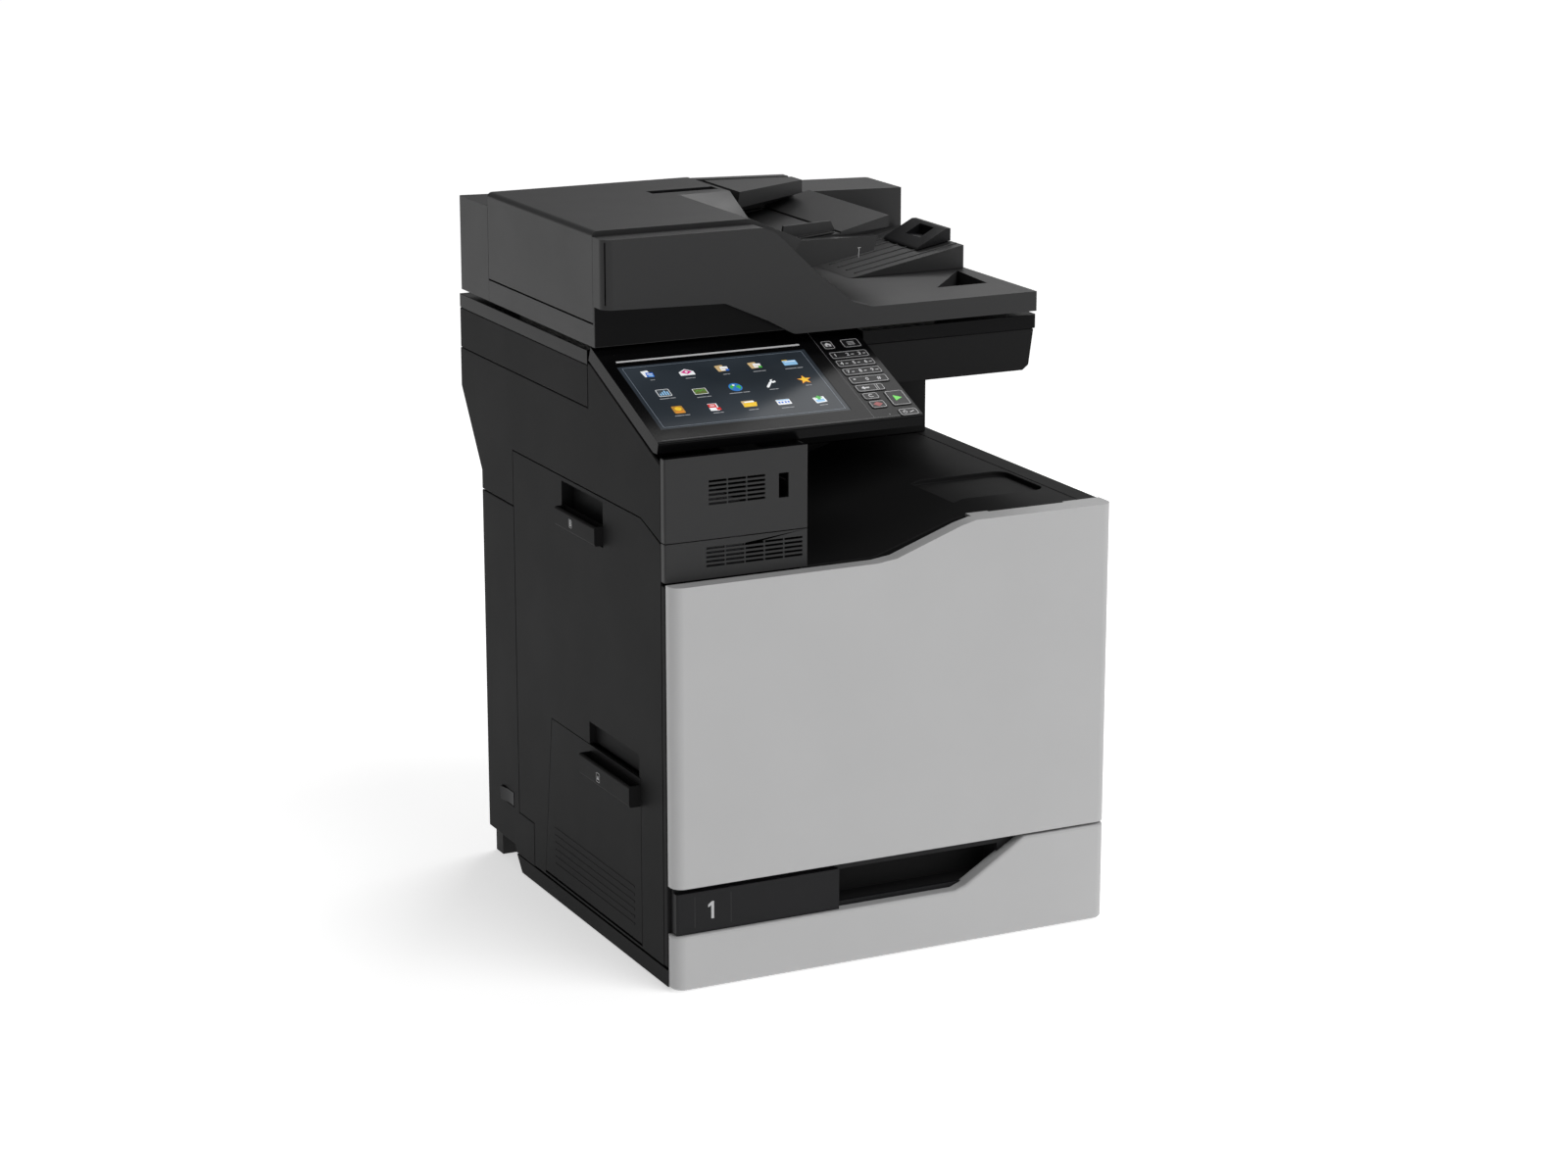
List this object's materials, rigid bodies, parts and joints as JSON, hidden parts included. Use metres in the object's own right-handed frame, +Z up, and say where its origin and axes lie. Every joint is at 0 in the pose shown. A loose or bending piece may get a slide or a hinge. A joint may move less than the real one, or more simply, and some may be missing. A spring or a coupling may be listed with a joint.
{
  "type": "photocopier",
  "caption": "Office colour copier with tilting touch panel, document feeder lid, front door, paper tray and side door with manual feeder.",
  "frame": {"origin": "middle of the bounding box on the floor", "axes": "+Z up, -Y towards the user at the front, +X to the user's right"},
  "size_m": [0.577, 0.62, 0.835],
  "materials": {
    "dark_shell": "fine textured charcoal plastic",
    "mid_shell": "fine textured dark grey plastic",
    "light_shell": "fine textured light silver grey plastic",
    "black_gloss": "polished black plastic",
    "black_plastic": "satin black plastic",
    "screen_glass": "back-lit touch screen",
    "clear_glass": "clear flat glass",
    "steel_sheet": "zinc-plated sheet steel",
    "steel_bright": "turned steel",
    "rubber": "moulded rubber",
    "white_foam": "white backed foam",
    "inner_grey": "moulded inner plastic",
    "belt_black": "semi-conductive film"
  },
  "bodies": {
    "chassis": {"base_pan": "dark_shell", "rubber_feet": "rubber", "engine_frame": "steel_sheet", "right_cover": "dark_shell", "rear_cover": "dark_shell", "power_inlet": "black_plastic", "left_rear_cover": "dark_shell", "left_upper_cover": "dark_shell", "front_strip": "dark_shell", "exit_block": "mid_shell", "vent_strip": "mid_shell", "bin_deck": "dark_shell", "rear_column": "dark_shell", "fuser_unit": "inner_grey", "laser_unit": "black_plastic", "transfer_unit": "belt_black", "toner_cartridges": "black_plastic", "waste_toner_bottle": "inner_grey", "power_supply": "steel_sheet", "controller_cage": "steel_sheet", "scanner_housing": "dark_shell", "scanner_top_frame": "black_gloss", "platen_glass": "clear_glass", "control_panel": "black_gloss", "touch_screen": "screen_glass", "hinge_pins": "steel_bright"},
    "door": {"front_door": "light_shell"},
    "tray": {"tray_fascia": "light_shell", "tray_handle_panel": "black_plastic", "tray_box": "dark_shell"},
    "lift": {"tray_lift_plate": "steel_sheet"},
    "guide_near": {"tray_guide_front": "inner_grey"},
    "guide_far": {"tray_guide_rear": "inner_grey"},
    "side": {"side_door": "dark_shell"},
    "side_latch": {"side_door_handle": "dark_shell"},
    "feeder": {"feeder_door": "dark_shell"},
    "extension": {"feeder_extension": "dark_shell"},
    "rocker": {"power_rocker": "black_plastic"},
    "lid": {"feeder_base": "mid_shell", "lid_pad": "white_foam", "feeder_rear_housing": "mid_shell", "output_platform": "mid_shell"},
    "cover": {"feeder_cover": "mid_shell"},
    "pick": {"pick_roller": "rubber"},
    "sheet_tray": {"input_tray": "mid_shell"},
    "sheet_guide_near": {"paper_guide_front": "mid_shell"},
    "sheet_guide_far": {"paper_guide_rear": "mid_shell"},
    "stop": {"paper_stop": "black_plastic"},
    "carriage": {"scan_carriage": "black_plastic"},
    "home_key_cap": {"home_key": "black_plastic"},
    "menu_key_cap": {"menu_key": "black_plastic"},
    "number_row_1_cap": {"number_row_1": "black_plastic"},
    "number_row_2_cap": {"number_row_2": "black_plastic"},
    "number_row_3_cap": {"number_row_3": "black_plastic"},
    "number_row_4_cap": {"number_row_4": "black_plastic"},
    "back_key_cap": {"back_key": "black_plastic"},
    "clear_key_cap": {"clear_key": "black_plastic"},
    "stop_key_cap": {"stop_key": "black_plastic"},
    "start_key_cap": {"start_key": "black_plastic"},
    "power_key_cap": {"power_key": "black_plastic"}
  },
  "joints": [
    {"name": "front_door_hinge", "type": "hinge", "parent": "chassis", "child": "door", "pos_m": [0.005, -0.304, 0.13], "axis": [1, 0, 0], "range_deg": [0, 90]},
    {"name": "tray_slide", "type": "slide", "parent": "chassis", "child": "tray", "axis": [0, -1, 0], "range_m": [0, 0.4]},
    {"name": "lift_plate_hinge", "type": "hinge", "parent": "tray", "child": "lift", "pos_m": [0.2125, -0.055, 0.0175], "axis": [0, 1, 0], "range_deg": [0, 6]},
    {"name": "tray_guide_near_slide", "type": "slide", "parent": "tray", "child": "guide_near", "axis": [0, 1, 0], "range_m": [0, 0.055]},
    {"name": "tray_guide_far_slide", "type": "slide", "parent": "tray", "child": "guide_far", "axis": [0, -1, 0], "range_m": [0, 0.055]},
    {"name": "side_door_hinge", "type": "hinge", "parent": "chassis", "child": "side", "pos_m": [-0.2685, -0.09, 0.031], "axis": [0, -1, 0], "range_deg": [0, 35]},
    {"name": "side_handle_pivot", "type": "hinge", "parent": "side", "child": "side_latch", "pos_m": [-0.2725, -0.061, 0.479], "axis": [0, -1, 0], "range_deg": [0, 12], "stiffness_Nm_per_rad": 0.6, "springref_deg": -8.59},
    {"name": "feeder_door_hinge", "type": "hinge", "parent": "side", "child": "feeder", "pos_m": [-0.2695, -0.076, 0.035], "axis": [0, -1, 0], "range_deg": [0, 55]},
    {"name": "extension_slide", "type": "slide", "parent": "feeder", "child": "extension", "axis": [0, 0, 1], "range_m": [0, 0.1]},
    {"name": "power_rocker_pivot", "type": "hinge", "parent": "chassis", "child": "rocker", "pos_m": [-0.2685, 0.183, 0.0905], "axis": [0, 0, -1], "range_deg": [0, 12]},
    {"name": "lid_hinge", "type": "hinge", "parent": "chassis", "child": "lid", "pos_m": [0.005, 0.301, 0.707], "axis": [-1, 0, 0], "range_deg": [0, 60]},
    {"name": "cover_hinge", "type": "hinge", "parent": "lid", "child": "cover", "pos_m": [-0.2715, 0.056, 0.734], "axis": [0, -1, 0], "range_deg": [0, 70]},
    {"name": "pick_roller_spin", "type": "hinge", "parent": "lid", "child": "pick", "pos_m": [-0.1245, 0.055, 0.762], "axis": [0, 1, 0], "continuous": true},
    {"name": "input_tray_hinge", "type": "hinge", "parent": "lid", "child": "sheet_tray", "pos_m": [-0.0075, 0.09, 0.784], "axis": [0, -1, 0], "range_deg": [0, 15]},
    {"name": "sheet_guide_near_slide", "type": "slide", "parent": "sheet_tray", "child": "sheet_guide_near", "axis": [0, 1, 0], "range_m": [0, 0.06]},
    {"name": "sheet_guide_far_slide", "type": "slide", "parent": "sheet_tray", "child": "sheet_guide_far", "axis": [0, -1, 0], "range_m": [0, 0.06]},
    {"name": "paper_stop_pivot", "type": "hinge", "parent": "lid", "child": "stop", "pos_m": [0.2745, 0.114, 0.7585], "axis": [0, 1, 0], "range_deg": [0, 60]},
    {"name": "scan_carriage_slide", "type": "slide", "parent": "chassis", "child": "carriage", "axis": [1, 0, 0], "range_m": [0, 0.38]},
    {"name": "home_key_press", "type": "slide", "parent": "chassis", "child": "home_key_cap", "axis": [0, 0.373, -0.9278], "range_m": [0, 0.0012], "stiffness_N_per_m": 400, "springref_m": -0.0006},
    {"name": "menu_key_press", "type": "slide", "parent": "chassis", "child": "menu_key_cap", "axis": [0, 0.373, -0.9278], "range_m": [0, 0.0012], "stiffness_N_per_m": 400, "springref_m": -0.0006},
    {"name": "number_row_1_press", "type": "slide", "parent": "chassis", "child": "number_row_1_cap", "axis": [0, 0.373, -0.9278], "range_m": [0, 0.0012], "stiffness_N_per_m": 400, "springref_m": -0.0006},
    {"name": "number_row_2_press", "type": "slide", "parent": "chassis", "child": "number_row_2_cap", "axis": [0, 0.373, -0.9278], "range_m": [0, 0.0012], "stiffness_N_per_m": 400, "springref_m": -0.0006},
    {"name": "number_row_3_press", "type": "slide", "parent": "chassis", "child": "number_row_3_cap", "axis": [0, 0.373, -0.9278], "range_m": [0, 0.0012], "stiffness_N_per_m": 400, "springref_m": -0.0006},
    {"name": "number_row_4_press", "type": "slide", "parent": "chassis", "child": "number_row_4_cap", "axis": [0, 0.373, -0.9278], "range_m": [0, 0.0012], "stiffness_N_per_m": 400, "springref_m": -0.0006},
    {"name": "back_key_press", "type": "slide", "parent": "chassis", "child": "back_key_cap", "axis": [0, 0.373, -0.9278], "range_m": [0, 0.0012], "stiffness_N_per_m": 400, "springref_m": -0.0006},
    {"name": "clear_key_press", "type": "slide", "parent": "chassis", "child": "clear_key_cap", "axis": [0, 0.373, -0.9278], "range_m": [0, 0.0012], "stiffness_N_per_m": 400, "springref_m": -0.0006},
    {"name": "stop_key_press", "type": "slide", "parent": "chassis", "child": "stop_key_cap", "axis": [0, 0.373, -0.9278], "range_m": [0, 0.0012], "stiffness_N_per_m": 400, "springref_m": -0.0006},
    {"name": "start_key_press", "type": "slide", "parent": "chassis", "child": "start_key_cap", "axis": [0, 0.373, -0.9278], "range_m": [0, 0.0012], "stiffness_N_per_m": 400, "springref_m": -0.0006},
    {"name": "power_key_press", "type": "slide", "parent": "chassis", "child": "power_key_cap", "axis": [0, 0.373, -0.9278], "range_m": [0, 0.0012], "stiffness_N_per_m": 400, "springref_m": -0.0006}
  ],
  "couplings": [
    {"joint": "tray_guide_far_slide", "follows": "tray_guide_near_slide", "ratio": 1},
    {"joint": "sheet_guide_far_slide", "follows": "sheet_guide_near_slide", "ratio": 1}
  ]
}
